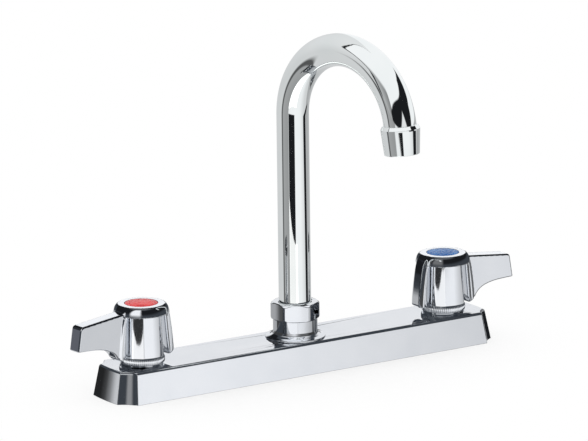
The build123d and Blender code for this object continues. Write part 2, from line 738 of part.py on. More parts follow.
# Split ring in the tube's groove, and the bushing between it and the union nut's lip
with BuildPart() as spout_split_ring:
    with BuildSketch(Plane.XY.offset(RING_GROOVE_Z - SPLIT_RING_THICK / 2)):
        Circle(SPLIT_RING_R)
        Circle(SPLIT_RING_R - SPLIT_RING_WIDTH, mode=Mode.SUBTRACT)
        with Locations((0, SPLIT_RING_R)):
            Rectangle(*SPLIT_GAP, mode=Mode.SUBTRACT)
    extrude(amount=SPLIT_RING_THICK)
save(spout_split_ring, "spout_split_ring")
bushing_top = NUT_TOP - NUT_LIP - 0.1
bushing_outline = ring_outline(TUBE_OD / 2 + FIT_GAP, UNION_THREAD_R - 0.1, thread_top + 0.1, bushing_top)
save(turned(bushing_outline), "spout_bushing")

# Aerator, on the axis of the tube's end: local z runs down the stream from the shoulder
aerator_plane = Plane(origin=bend_end, x_dir=(cos(yaw), sin(yaw), 0), z_dir=down)
section = Plane(origin=bend_end, x_dir=aerator_plane.x_dir, z_dir=aerator_plane.x_dir.cross(down))
stream = Axis(bend_end, down)
bore = TUBE_OD / 2 + FIT_GAP


def aerator_piece(outline):
    with BuildPart() as piece:
        with BuildSketch(section):
            with BuildLine():
                Polyline(*outline, close=True)
            make_face()
        revolve(axis=stream)
    return piece


lip_r = AERATOR_END_R - AERATOR_LIP
washer_end = AERATOR_OVERLAP + AERATOR_WASHER
insert_start = washer_end + 0.1
housing = aerator_piece([
    (bore, -AERATOR_SHOULDER), (bore + AERATOR_EDGE, -AERATOR_SHOULDER), (AERATOR_TOP_R, AERATOR_RIM[0]),
    (AERATOR_TOP_R, AERATOR_RIM[1]), (AERATOR_END_R, AERATOR_LENGTH - AERATOR_EDGE),
    (AERATOR_END_R - AERATOR_EDGE, AERATOR_LENGTH), (lip_r, AERATOR_LENGTH), (lip_r, AERATOR_LENGTH - 1),
    (bore, insert_start),
])
save(housing, "aerator_housing")
washer = aerator_piece([
    (WASHER_INNER_R, AERATOR_OVERLAP), (bore - 0.1, AERATOR_OVERLAP),
    (bore - 0.1, washer_end), (WASHER_INNER_R, washer_end),
])
save(washer, "aerator_washer")
with BuildPart() as aerator_insert:
    with BuildSketch(aerator_plane.offset(insert_start)):
        Circle(lip_r - 0.2)
        for ring, count in JET_RINGS:
            with PolarLocations(ring, count):
                Circle(JET_R, mode=Mode.SUBTRACT)
    extrude(amount=AERATOR_LENGTH - 1 - insert_start)
save(aerator_insert, "aerator_insert")
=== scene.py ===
import bpy
import bmesh
import json
import math
import numpy as np
from mathutils import Matrix, Vector


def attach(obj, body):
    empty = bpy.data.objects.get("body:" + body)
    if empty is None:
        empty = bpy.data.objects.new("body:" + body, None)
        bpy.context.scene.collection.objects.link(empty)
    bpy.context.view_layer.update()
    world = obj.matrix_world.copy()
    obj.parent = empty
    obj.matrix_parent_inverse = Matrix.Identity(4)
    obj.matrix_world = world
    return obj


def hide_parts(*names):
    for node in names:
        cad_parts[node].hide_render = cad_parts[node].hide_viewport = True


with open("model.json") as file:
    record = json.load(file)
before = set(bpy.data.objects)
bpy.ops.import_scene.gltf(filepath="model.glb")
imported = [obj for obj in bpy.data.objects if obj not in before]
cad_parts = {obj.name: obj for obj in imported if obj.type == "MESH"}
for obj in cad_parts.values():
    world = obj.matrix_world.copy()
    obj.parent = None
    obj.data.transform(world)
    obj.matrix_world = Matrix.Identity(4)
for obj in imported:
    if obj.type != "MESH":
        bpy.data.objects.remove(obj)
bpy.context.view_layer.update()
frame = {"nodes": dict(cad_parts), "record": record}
nodes = frame["nodes"]
MM = 0.001

# Main sizes, in millimetres, with the part's values. The scene's own are LIP_Z, 1.4 mm lower as the brow in the
# photo, and HUB_TOP, inside the cap.
CENTRES = 203.2
TUBE_R = 9.15
TUBE_WALL = 1.0
BEND_RADIUS = 42.0
BEND_ANGLE = math.radians(174.7)
BEND_START = 146.5
SPOUT_YAW = math.radians(12.0)
TUBE_START = 25.0
AERATOR_OVERLAP = 7.0
COVER_HEIGHT = 17.8
COVER_WALL = 2.8
COVER_FOOT = (253.6, 42.8)
COVER_TOP = (246.8, 36.4)
HOLLOW_FOOT = (248.0, 37.2)
HOLLOW_TOP = (242.3, 31.8)
FOOT_CUT = 8.8
TOP_CUT = 7.2
FLUTE_DEPTH = 0.9
VALVE_HOLE_R = 9.2
SOCKET_HOLE_R = 11.1
FLANGE_R = 17.1
COLLAR_R = 12.6
COLLAR_TOP = 28.6
SOCKET_BORE_R = 10.0
THREAD_R = 11.1
THREAD_TOP = 32.6
NUT_TOP = 38.2
NUT_HALF = 12.4
NUT_CORNER_R = 13.95
NUT_BORE_R = 9.35
NUT_TURN = math.radians(31.6)
RIM_Z = 52.2
LIP_Z = 46.8
INDEX_R = 9.3
INDEX_THICK = 1.9
LEG_HALF = 5.0
LEVER_HALF = 4.4
HUB_R = 6.9
HUB_BOTTOM = 35.4
HUB_TOP = 50.0
STEM_BORE_R = 4.05
STEM_CEILING = 45.4
SCREW_WELL_R = 4.0
SCREW_SEAT = 46.2
SCREW_HOLE_R = 2.3
SLEEVE_FOOT_R = 11.6
SLEEVE_MOUTH_R = 7.8
SLEEVE_WALL = 1.2
CONE_TOP_R = 10.9
CONE_TOP = 46.6
RIBS = 72
HOT_REST = 5.0

# Fine detail that the scene shapes in its own way, in millimetres
END_CROWN = 0.7
NUT_BULGE = 0.12
RIB_LIFT = 0.34


# Shader helpers
def new_material(name):
    material = bpy.data.materials.new(name)
    material.use_nodes = True
    tree = material.node_tree
    shader = tree.nodes["Principled BSDF"]
    return material, tree, shader


def noise(tree, scale, detail=3.0, stretch=(1, 1, 1)):
    coords = tree.nodes.new("ShaderNodeTexCoord")
    mapping = tree.nodes.new("ShaderNodeMapping")
    mapping.inputs["Scale"].default_value = stretch
    texture = tree.nodes.new("ShaderNodeTexNoise")
    texture.inputs["Scale"].default_value = scale
    texture.inputs["Detail"].default_value = detail
    tree.links.new(coords.outputs["Object"], mapping.inputs["Vector"])
    tree.links.new(mapping.outputs["Vector"], texture.inputs["Vector"])
    return texture


def ramp(tree, source, stops):
    """A colour ramp of (place, colour) stops, where a colour has three channels or one."""
    node = tree.nodes.new("ShaderNodeValToRGB")
    while len(node.color_ramp.elements) < len(stops):
        node.color_ramp.elements.new(0.5)
    for element, (place, colour) in zip(node.color_ramp.elements, stops):
        element.position = place
        element.color = (*colour, 1) if len(colour) == 3 else (*colour * 3, 1)
    tree.links.new(source, node.inputs["Fac"])
    return node


def remap(tree, source, low, high):
    """Maps 0 to 1 onto low to high."""
    node = tree.nodes.new("ShaderNodeMapRange")
    node.inputs["To Min"].default_value = low
    node.inputs["To Max"].default_value = high
    tree.links.new(source, node.inputs["Value"])
    return node


def bump(tree, shader, height, strength, distance):
    node = tree.nodes.new("ShaderNodeBump")
    node.inputs["Strength"].default_value = strength
    node.inputs["Distance"].default_value = distance
    tree.links.new(height, node.inputs["Height"])
    tree.links.new(node.outputs["Normal"], shader.inputs["Normal"])


def metal(name, dark, light, rough, scale, stretch=(1, 1, 1), relief=0.00002):
    """A metal whose colour, roughness and relief vary a little over the surface."""
    material, tree, shader = new_material(name)
    shader.inputs["Metallic"].default_value = 1.0
    fine = noise(tree, scale, 4, stretch)
    cloud = noise(tree, scale * 0.06, 2)
    tint = ramp(tree, cloud.outputs["Fac"], [(0.3, dark), (0.7, light)])
    tree.links.new(tint.outputs["Color"], shader.inputs["Base Color"])
    gloss = remap(tree, fine.outputs["Fac"], *rough)
    tree.links.new(gloss.outputs["Result"], shader.inputs["Roughness"])
    if relief:
        bump(tree, shader, fine.outputs["Fac"], 0.3, relief)
    return material


def gloss_paint(name, dark, light, rough):
    """Coloured plastic under a clear coat."""
    material, tree, shader = new_material(name)
    cloud = noise(tree, 220, 3)
    tint = ramp(tree, cloud.outputs["Fac"], [(0.35, dark), (0.65, light)])
    tree.links.new(tint.outputs["Color"], shader.inputs["Base Color"])
    grain = noise(tree, 2500, 2)
    gloss = remap(tree, grain.outputs["Fac"], *rough)
    tree.links.new(gloss.outputs["Result"], shader.inputs["Roughness"])
    shader.inputs["IOR"].default_value = 1.45
    return material


cast_chrome = metal("cast_chrome", (0.82, 0.84, 0.87), (0.86, 0.875, 0.90), (0.035, 0.06), 900, relief=0)
tube_chrome = metal("tube_chrome", (0.84, 0.87, 0.86), (0.88, 0.90, 0.89), (0.02, 0.04), 900, relief=0)
brass = metal("brass", (0.70, 0.50, 0.22), (0.82, 0.63, 0.33), (0.22, 0.38), 1500, (1, 1, 14))
copper = metal("copper", (0.72, 0.34, 0.20), (0.85, 0.46, 0.30), (0.2, 0.4), 1200, (0.1, 1, 1))
steel = metal("steel", (0.55, 0.56, 0.58), (0.68, 0.69, 0.71), (0.2, 0.34), 1800, (1, 1, 10))
ceramic = gloss_paint("ceramic", (0.86, 0.85, 0.81), (0.93, 0.92, 0.89), (0.12, 0.2))
rubber = gloss_paint("rubber", (0.018, 0.018, 0.019), (0.03, 0.03, 0.031), (0.55, 0.75))
acetal = gloss_paint("acetal", (0.80, 0.80, 0.78), (0.88, 0.88, 0.86), (0.3, 0.45))
red_index = gloss_paint("red_index", (0.62, 0.016, 0.02), (0.78, 0.04, 0.04), (0.16, 0.24))
blue_index = gloss_paint("blue_index", (0.008, 0.10, 0.34), (0.014, 0.16, 0.46), (0.16, 0.24))
for paint in (red_index, blue_index):
    paint.node_tree.nodes["Principled BSDF"].inputs["Specular IOR Level"].default_value = 0.12

by_slot = {
    "chrome": cast_chrome, "brass": brass, "copper": copper, "steel": steel, "ceramic": ceramic,
    "rubber": rubber, "red_index": red_index, "blue_index": blue_index, "white_plastic": acetal,
}
for row in frame["record"]["subparts"]:
    node = nodes[row["node"]]
    node.data.materials.clear()
    node.data.materials.append(by_slot[row["material_slot"]])


# Mesh helpers
def area_normals(mesh):
    """Vertex normals weighed by face area, so that broad faces stay true beside narrow rounded edges."""
    count = len(mesh.polygons)
    normal = np.zeros(count * 3, np.float32)
    area = np.zeros(count, np.float32)
    total = np.zeros(count, np.int32)
    mesh.polygons.foreach_get("normal", normal)
    mesh.polygons.foreach_get("area", area)
    mesh.polygons.foreach_get("loop_total", total)
    corner = np.zeros(len(mesh.loops), np.int32)
    mesh.loops.foreach_get("vertex_index", corner)
    push = np.repeat(normal.reshape(-1, 3) * area[:, None], total, axis=0)
    result = np.zeros((len(mesh.vertices), 3))
    for axis in range(3):
        result[:, axis] = np.bincount(corner, push[:, axis], len(mesh.vertices))
    return result / np.maximum(np.linalg.norm(result, axis=1), 1e-20)[:, None]


def add_piece(name, points, faces, material, body, replaced=(), slot="chrome", normals=None):
    mesh = bpy.data.meshes.new(name)
    mesh.from_pydata((np.asarray(points, float) * MM).tolist(), [], faces)
    mesh.polygons.foreach_set("use_smooth", [True] * len(mesh.polygons))
    mesh.update()
    mesh.normals_split_custom_set_from_vertices(area_normals(mesh) if normals is None else normals)
    piece = bpy.data.objects.new(name, mesh)
    bpy.context.scene.collection.objects.link(piece)
    mesh.materials.append(material)
    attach(piece, body)
    if replaced:
        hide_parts(*replaced)
    return piece


def skin(grid, closed=True):
    """Points and faces of a grid of rings (rings, places, xyz). A ring shrunk to a point becomes a pole."""
    rings, places = grid.shape[:2]
    points, index = [], []
    for ring in grid:
        if np.ptp(ring, axis=0).max() < 1e-6:
            index.append([len(points)] * places)
            points.append(ring[0])
        else:
            index.append(list(range(len(points), len(points) + places)))
            points.extend(ring)
    faces = []
    for i in range(rings if closed else rings - 1):
        low, high = index[i], index[(i + 1) % rings]
        for k in range(places):
            m = (k + 1) % places
            face = list(dict.fromkeys((low[k], low[m], high[m], high[k])))
            if len(face) > 2:
                faces.append(face)
    return np.array(points), faces


def soften(corners, steps=5, closed=True):
    """A polyline whose corners (x, y, radius) are rounded. Radius 0 keeps the point."""
    out = []
    count = len(corners)
    for i, (x, y, radius) in enumerate(corners):
        here = np.array((x, y), float)
        if radius <= 0 or (not closed and i in (0, count - 1)):
            out.append(here)
            continue
        before = np.array(corners[i - 1][:2], float) - here
        after = np.array(corners[(i + 1) % count][:2], float) - here
        reach = min(np.linalg.norm(before), np.linalg.norm(after)) * 0.49
        before /= np.linalg.norm(before)
        after /= np.linalg.norm(after)
        half = math.acos(max(-1, min(1, before @ after))) / 2
        cut = min(radius / math.tan(half), reach)
        radius = cut * math.tan(half)
        middle = here + (before + after) / np.linalg.norm(before + after) * (radius / math.sin(half))
        first = here + before * cut - middle
        last = here + after * cut - middle
        turn = math.atan2(first[0] * last[1] - first[1] * last[0], first @ last)
        for k in range(steps + 1):
            a = turn * k / steps
            spin = np.array(((math.cos(a), -math.sin(a)), (math.sin(a), math.cos(a))))
            out.append(middle + spin @ first)
    return np.array(out)


def curve_points(points, count):
    """Points along a smooth curve through the given ones, without the last."""
    p = np.array(points, float)
    t = np.concatenate(([0], np.cumsum(np.linalg.norm(np.diff(p, axis=0), axis=1))))
    u = np.linspace(0, t[-1], count + 1)[:-1]
    slope = np.gradient(p, t, axis=0, edge_order=2)
    k = np.clip(np.searchsorted(t, u, side="right") - 1, 0, len(t) - 2)
    h = (t[k + 1] - t[k])[:, None]
    s = ((u - t[k]) / (t[k + 1] - t[k]))[:, None]
    return ((1 + 2 * s) * (1 - s) ** 2 * p[k] + s * (1 - s) ** 2 * h * slope[k]
            + s * s * (3 - 2 * s) * p[k + 1] + s * s * (s - 1) * h * slope[k + 1])


def turned(profile, places=128, centre=(0.0, 0.0), radius_at=None):
    """Rings of a profile of (radius, height), outer side upwards, round a vertical axis."""
    angle = np.linspace(0, 2 * math.pi, places, endpoint=False)
    radius = np.repeat(profile[:, :1], places, axis=1)
    if radius_at is not None:
        radius = radius_at(radius, profile[:, 1:2], angle[None, :])
    height = np.repeat(profile[:, 1:2], places, axis=1)
    return np.stack((centre[0] + radius * np.cos(angle), centre[1] + radius * np.sin(angle), height), axis=2)


def smooth_min(a, b, k):
    """The lesser of two fields, blended where they come within k."""
    h = np.clip(0.5 + 0.5 * (b - a) / k, 0, 1)
    return b * (1 - h) + a * h - k * h * (1 - h)


# Base cover
def cover_ring(length, width, cut, crease):
    """Plan outline at one level: straight sides, slightly crowned ends and a concave flute at each corner."""
    a, b = length / 2 - END_CROWN, width / 2
    cut = cut - END_CROWN / 2
    chord = cut * math.sqrt(2)
    radius = (chord * chord / 4 + FLUTE_DEPTH * FLUTE_DEPTH) / (2 * FLUTE_DEPTH)
    swing = math.asin(chord / 2 / radius)
    corners = []
    for sx, sy in ((1, 1), (-1, 1), (-1, -1), (1, -1)):
        middle = np.array((sx * (a - cut / 2), sy * (b - cut / 2)))
        away = np.array((sx, sy)) / math.sqrt(2)
        centre = middle + away * (radius - FLUTE_DEPTH)
        start = math.atan2(-away[1], -away[0])
        turns = np.linspace(swing, -swing, 17)
        arc = [(*(centre + radius * np.array((math.cos(start + t), math.sin(start + t)))), 0) for t in turns]
        arc[0] = (*arc[0][:2], crease)
        arc[-1] = (*arc[-1][:2], crease)
        corners.extend(arc)
        if sx * sy < 0:
            edge = b - cut
            across = np.linspace(-edge, edge, 13)[1:-1]
            corners.extend((sx * (a + END_CROWN * (1 - (y / edge) ** 2)), sx * y, 0) for y in across)
    return soften(corners, 3)


def cover_grid(foot, top, height, edge, crease):
    """Rings from the foot up, over the rounded top edge."""
    draft = np.array((foot[0] - top[0], foot[1] - top[1])) / 2
    inward = draft.mean()
    lean = inward / height
    section = soften([(lean * 0.5, 0.5, 0), (inward, height, edge), (6, height, 0)], 8, closed=False)[:-1]
    foot_edge = [(0.2, 0), (0.08, 0.05), (lean * 0.2, 0.2)]
    below_edge = section[1] - (lean * 0.3, 0.3)
    section = np.concatenate((foot_edge, section[:1], [below_edge], section[1:]))
    mitre = 0.586
    rings = []
    for inset, z in section:
        share = min(z / height, 1)
        extra = max(inset - lean * z if z < height else inset - inward, 0)
        cut = FOOT_CUT + (TOP_CUT - FOOT_CUT) * share - mitre * extra
        size = (foot[0] - 2 * draft[0] * share - 2 * extra, foot[1] - 2 * draft[1] * share - 2 * extra)
        ring = cover_ring(*size, cut, crease)
        rings.append(np.column_stack((ring, np.full(len(ring), z))))
    return rings


def circle(x, radius, z, places=72):
    angles = np.linspace(0, 2 * math.pi, places, endpoint=False)
    return [(x + radius * math.cos(a), radius * math.sin(a), z) for a in angles]


def cover_shell():
    """An outer and an inner skin, joined at the foot and round the three holes in the top."""
    shell = bmesh.new()

    def ring_of(points):
        return [shell.verts.new(p) for p in points]

    def wall(loops):
        for low, high in zip(loops, loops[1:]):
            for k in range(len(low)):
                m = (k + 1) % len(low)
                shell.faces.new((low[k], low[m], high[m], high[k]))

    outside = [ring_of(ring) for ring in cover_grid(COVER_FOOT, COVER_TOP, COVER_HEIGHT, 1.6, 0.45)]
    inside = [ring_of(ring) for ring in cover_grid(HOLLOW_FOOT, HOLLOW_TOP, COVER_HEIGHT - COVER_WALL, 0.8, 0.6)]
    wall(outside)
    wall(inside)
    wall([inside[0], outside[0]])
    holes = ((-CENTRES / 2, VALVE_HOLE_R), (0, SOCKET_HOLE_R), (CENTRES / 2, VALVE_HOLE_R))
    rims = []
    for loop, z in ((outside[-1], COVER_HEIGHT), (inside[-1], COVER_HEIGHT - COVER_WALL)):
        cuts = [ring_of(circle(x, radius, z)) for x, radius in holes]
        rims.append(cuts)
        edges = []
        for ring in [loop, *cuts]:
            for k in range(len(ring)):
                pair = (ring[k], ring[(k + 1) % len(ring)])
                edges.append(shell.edges.get(pair) or shell.edges.new(pair))
        bmesh.ops.triangle_fill(shell, use_beauty=True, edges=edges, normal=(0, 0, 1))
    for high, low in zip(*rims):
        wall([high, low])
    bmesh.ops.recalc_face_normals(shell, faces=shell.faces)
    shell.verts.index_update()
    points = [tuple(v.co) for v in shell.verts]
    faces = [[v.index for v in face.verts] for face in shell.faces]
    shell.free()
    return points, faces


add_piece("base_cover", *cover_shell(), cast_chrome, "base", ["deck_cover"])


# Spout socket and union nut
socket_profile = soften([
    (SOCKET_BORE_R, 12.0, 0.2), (10.9, 12.0, 0.2), (10.9, COVER_HEIGHT, 0), (FLANGE_R, COVER_HEIGHT, 0.15),
    (FLANGE_R, 18.6, 0.35), (14.6, 19.1, 1.2), (12.9, 20.3, 1.0), (COLLAR_R, 22.0, 0.6), (COLLAR_R, COLLAR_TOP, 0.25),
    (THREAD_R, COLLAR_TOP, 0.1), (THREAD_R, THREAD_TOP, 0.2), (SOCKET_BORE_R, THREAD_TOP, 0.2),
])
add_piece("socket_trim", *skin(turned(socket_profile, 160)), cast_chrome, "base", ["spout_socket"])


def hexagon(radius, height, angle):
    """The nut's outline: six slightly bulged flats met by turned corners, with a chamfer above and below."""
    sixth = math.pi / 3
    local = (angle - NUT_TURN) % sixth - sixth / 2
    flats = (NUT_HALF + NUT_BULGE * (1 - (local * 6 / math.pi) ** 2)) / np.cos(local)
    above = NUT_CORNER_R - np.maximum(height - (NUT_TOP - 1.15), 0) * 1.1
    below = NUT_CORNER_R - np.maximum(COLLAR_TOP + 0.9 - height, 0) * 0.5
    body = smooth_min(smooth_min(flats, above, 0.3), below, 0.3)
    return np.where(radius > 12, body, radius)


nut_heights = np.concatenate((
    np.linspace(COLLAR_TOP + 0.1, COLLAR_TOP + 1.6, 9),
    np.linspace(COLLAR_TOP + 1.8, NUT_TOP - 3.2, 12),
    np.linspace(NUT_TOP - 3.0, NUT_TOP - 0.1, 22),
))
nut_profile = np.array(
    [(11.2, COLLAR_TOP + 0.05), (11.9, COLLAR_TOP + 0.05)]
    + [(12.5, z) for z in nut_heights]
    + [(11.6, NUT_TOP), (10.6, NUT_TOP), (9.9, NUT_TOP - 0.06), (9.5, NUT_TOP - 0.3), (NUT_BORE_R, NUT_TOP - 0.7)]
    + [(NUT_BORE_R, NUT_TOP - 2.2), (THREAD_R + 0.05, NUT_TOP - 2.2)]
)
add_piece("union_nut", *skin(turned(nut_profile, 360, radius_at=hexagon)), cast_chrome, "base", ["spout_nut"])


# Gooseneck
out_way = np.array((math.sin(SPOUT_YAW), -math.cos(SPOUT_YAW), 0))
up_way = np.array((0, 0, 1.0))
side_way = np.cross(out_way, up_way)
stations = [(0.0, z) for z in np.linspace(TUBE_START, BEND_START, 30)[:-1]]
stations += [(a, BEND_START) for a in np.linspace(0, BEND_ANGLE, 110)]
bend_reach = BEND_RADIUS * (1 - math.cos(BEND_ANGLE))
bend_end = out_way * bend_reach + up_way * (BEND_START + BEND_RADIUS * math.sin(BEND_ANGLE))
down_way = out_way * math.sin(BEND_ANGLE) + up_way * math.cos(BEND_ANGLE)
around = np.linspace(0, 2 * math.pi, 112, endpoint=False)


def tube_ring(centre, inward, radius):
    return centre + radius * (np.cos(around)[:, None] * inward + np.sin(around)[:, None] * -side_way)


def tube_frame(angle, height):
    """Centre and inward direction of the tube's ring at that angle of the bend."""
    centre = out_way * BEND_RADIUS * (1 - math.cos(angle)) + up_way * (height + BEND_RADIUS * math.sin(angle))
    return centre, out_way * math.cos(angle) - up_way * math.sin(angle)


frames = [tube_frame(*s) for s in stations]
last_inward = frames[-1][1]
frames += [(bend_end + down_way * t, last_inward) for t in np.linspace(1, AERATOR_OVERLAP, 4)]
tube_grid = [tube_ring(c, n, TUBE_R) for c, n in frames]
tube_grid += [tube_ring(c, n, TUBE_R - TUBE_WALL) for c, n in frames[::-1]]
add_piece("gooseneck", *skin(np.array(tube_grid)), tube_chrome, "spout", ["spout_tube"])


# Aerator housing, on the tube's end
def on_stream(grid):
    """Turns rings made round z, with z along the stream, into place at the tube's end."""
    x, y, z = grid[..., 0:1], grid[..., 1:2], grid[..., 2:3]
    return bend_end + x * last_inward + y * side_way + z * down_way


housing_profile = soften([
    (9.9, -1.8, 0.12), (9.2, -1.8, 0.1), (9.2, 8.6, 0.1), (8.8, 13.4, 0), (8.8, 14.4, 0.15), (9.85, 14.4, 0.35),
    (11.0, 0.8, 0.3), (11.0, 0.1, 0.4),
])[::-1]
housing = on_stream(turned(housing_profile, 144))
add_piece("aerator_shell", *skin(housing), tube_chrome, "spout", ["aerator_housing"])


# Handles: one canopy mesh from a distance field, used on both sides
def polygon_distance(x, y, corners):
    """Signed distance to a closed polygon, negative inside."""
    p = np.array(corners, float)
    best = np.full(np.shape(x), 1e9)
    inside = np.zeros(np.shape(x), bool)
    for (ax, ay), (bx, by) in zip(p, np.roll(p, -1, axis=0)):
        ex, ey = bx - ax, by - ay
        wx, wy = x - ax, y - ay
        t = np.clip((wx * ex + wy * ey) / (ex * ex + ey * ey), 0, 1)
        best = np.minimum(best, (wx - ex * t) ** 2 + (wy - ey * t) ** 2)
        cross = ex * wy - ey * wx
        inside ^= ((ay <= y) != (by <= y)) & ((cross > 0) == (by > ay))
    return np.where(inside, -1, 1) * np.sqrt(best)


def both(a, b, radius):
    """Intersection of two fields with an edge of that radius."""
    outside = np.hypot(np.maximum(a + radius, 0), np.maximum(b + radius, 0))
    return np.minimum(np.maximum(a, b) + radius, 0) + outside - radius


# The canopy's sections: (reach, height) for the cap, (|x|, height) for the legs and (x, height) for the lever
shoulder = curve_points([
    (13.0, 52.12), (14.1, 51.35), (14.9, 50.2), (15.4, 48.8), (15.75, 47.2), (15.8, 47.0),
], 14)
cap_outline = [(-1, LIP_Z), (15.75, LIP_Z), *shoulder[::-1], (12.2, RIM_Z), (-1, RIM_Z + 0.2)]
cap_hollow = [(7.2, 45), (7.2, 49.0), (9.8, 49.0), (12.4, 50.0), (13.9, 48.6), (14.7, 45)]
leg_curve = curve_points([
    (19.45, 22.0), (19.35, 25.0), (18.7, 32.5), (17.85, 39.0), (16.9, 44.5), (15.9, 48.0), (14.6, 50.4), (12.6, 51.7),
], 28)
leg_outline = [*leg_curve, (12.6, 51.7), (-3, 51.7), (-3, 15), (19.6, 15)]
leg_void = [
    (-3, 15), (15.7, 15), (15.3, 20.5), (13.2, 43.2), (12.7, 45.4), (11.7, 47.0), (10.2, 48.0), (8.6, 48.4), (-3, 48.4),
]
lever_curve = curve_points([
    (46.0, 31.9), (40.0, 31.7), (34.0, 31.3), (29.0, 30.4), (25.0, 29.0), (22.0, 26.9), (20.2, 24.6), (19.3, 22.6),
], 24)
lever_outline = [
    (13.5, 49.0), (42.6, 45.9), (43.9, 45.3), (44.4, 44.2), (46.3, 32.4), *lever_curve,
    (17.2, 23.0), (15.4, 40), (13.5, 46),
]


def handle_field(x, y, z):
    """Signed distance to the canopy with its lever along +X, negative inside."""
    reach = np.hypot(x, y)
    away = np.abs(x)
    cap = both(polygon_distance(reach, z, cap_outline), z - RIM_Z - 0.2, 0.4)
    cap = np.maximum(cap, -polygon_distance(reach, z, cap_hollow))
    hub = np.maximum(reach - HUB_R, np.maximum(HUB_BOTTOM - z, z - HUB_TOP))
    leg = both(polygon_distance(away, z, leg_outline), np.abs(y) - LEG_HALF, 2.3)
    leg = both(leg, -polygon_distance(away, z, leg_void), 1.8)
    sole = ((away - 14.8) * 2.9 - (z - 20.5) * 4.6) / 5.438
    leg = both(leg, sole, 0.5)
    lever = both(polygon_distance(x, z, lever_outline), np.abs(y) - LEVER_HALF, 0.9)
    body = smooth_min(smooth_min(cap, leg, 0.9), hub, 0.4)
    body = smooth_min(body, lever, 0.35)
    recess = np.maximum(reach - (INDEX_R + 0.08), (RIM_Z - INDEX_THICK) - z)
    bore = np.maximum(reach - STEM_BORE_R, z - STEM_CEILING)
    well = np.maximum(reach - SCREW_WELL_R, SCREW_SEAT - z)
    hole = reach - SCREW_HOLE_R
    for cut in (recess, bore, well, hole):
        body = -smooth_min(-body, cut, 0.12)
    return body


def surface_net(field, low, high, pitch):
    """Quads round the zero set of a field, pulled onto it, with normals from its gradient."""
    axes = [np.arange(low[i], high[i] + pitch, pitch) for i in range(3)]
    x, y, z = np.meshgrid(*axes, indexing="ij")
    d = field(x, y, z)
    inside = d < 0
    shape = tuple(n - 1 for n in d.shape)
    total = np.zeros(shape + (3,))
    hits = np.zeros(shape)
    corner = [(i, j, k) for i in (0, 1) for j in (0, 1) for k in (0, 1)]

    def shifted(array, c):
        return array[c[0]:c[0] + shape[0], c[1]:c[1] + shape[1], c[2]:c[2] + shape[2]]

    for a in corner:
        for axis in range(3):
            if a[axis]:
                continue
            b = tuple(c + (1 if i == axis else 0) for i, c in enumerate(a))
            da, db = shifted(d, a), shifted(d, b)
            crossing = shifted(inside, a) != shifted(inside, b)
            t = np.where(crossing, da / np.where(crossing, da - db, 1), 0)
            hits += crossing
            for i in range(3):
                total[..., i] += crossing * (a[i] + (t if i == axis else 0))
    active = hits > 0
    number = np.full(shape, -1)
    number[active] = np.arange(active.sum())
    cells = np.argwhere(active)
    points = np.array(low) + (cells + total[active] / hits[active][:, None]) * pitch
    faces = []
    for axis in range(3):
        u, v = (axis + 1) % 3, (axis + 2) % 3
        first = [slice(1, n - 1) for n in d.shape]
        second = list(first)
        first[axis] = slice(0, d.shape[axis] - 1)
        second[axis] = slice(1, d.shape[axis])
        here, there = inside[tuple(first)], inside[tuple(second)]
        for flip, mask in ((False, here & ~there), (True, ~here & there)):
            where = np.argwhere(mask)
            where[:, u] += 1
            where[:, v] += 1
            quad = []
            for du, dv in ((1, 1), (0, 1), (0, 0), (1, 0)):
                cell = where.copy()
                cell[:, u] -= du
                cell[:, v] -= dv
                quad.append(number[cell[:, 0], cell[:, 1], cell[:, 2]])
            quad = np.stack(quad, axis=1)
            faces.append(quad[:, ::-1] if flip else quad)
    faces = np.concatenate(faces)
    step = pitch * 0.12

    def slope(p):
        parts = []
        for i in range(3):
            shift = np.zeros(3)
            shift[i] = step
            parts.append(field(*(p + shift).T) - field(*(p - shift).T))
        return np.stack(parts, axis=1) / (2 * step)

    for _ in range(3):
        g = slope(points)
        size = np.maximum((g * g).sum(axis=1), 0.25)
        move = -field(*points.T)[:, None] * g / size[:, None]
        points = points + np.clip(move, -0.4 * pitch, 0.4 * pitch)
    g = slope(points)
    return points, faces.tolist(), g / np.maximum(np.linalg.norm(g, axis=1), 1e-9)[:, None]


pitch = 0.42
canopy_points, canopy_faces, canopy_normals = surface_net(
    handle_field, (-21.1, -17.1, 19.3), (48.1, 17.1, 53.6), pitch)


# Sleeve under each canopy, with a ribbed ring
def ribbed(radius, height, angle):
    crest = 0.5 + 0.5 * np.cos(angle * RIBS)
    band = np.clip((height - 18.9) / 0.25, 0, 1) * np.clip((22.15 - height) / 0.5, 0, 1)
    return radius + np.where(radius > 12.0, RIB_LIFT * crest ** 1.4 * band, 0)


sleeve_profile = soften([
    (10.65, COVER_HEIGHT, 0.1), (SLEEVE_FOOT_R, COVER_HEIGHT, 0.1), (SLEEVE_FOOT_R, 18.7, 0.1), (12.3, 18.7, 0.2),
    (12.45, 18.95, 0.1), (12.42, 20.0, 0), (12.38, 21.0, 0), (12.34, 21.7, 0), (12.31, 22.3, 0.1), (12.17, 22.5, 0.15),
    (12.1, 23.0, 0), (CONE_TOP_R, CONE_TOP, 1.0), (SLEEVE_MOUTH_R, CONE_TOP, 0.2),
    (SLEEVE_MOUTH_R, CONE_TOP - SLEEVE_WALL, 0.2), (9.7, CONE_TOP - SLEEVE_WALL, 0.2), (11.0, 22.4, 0.2),
    (10.65, 21.4, 0.1),
], 6)
sleeve_places = 576

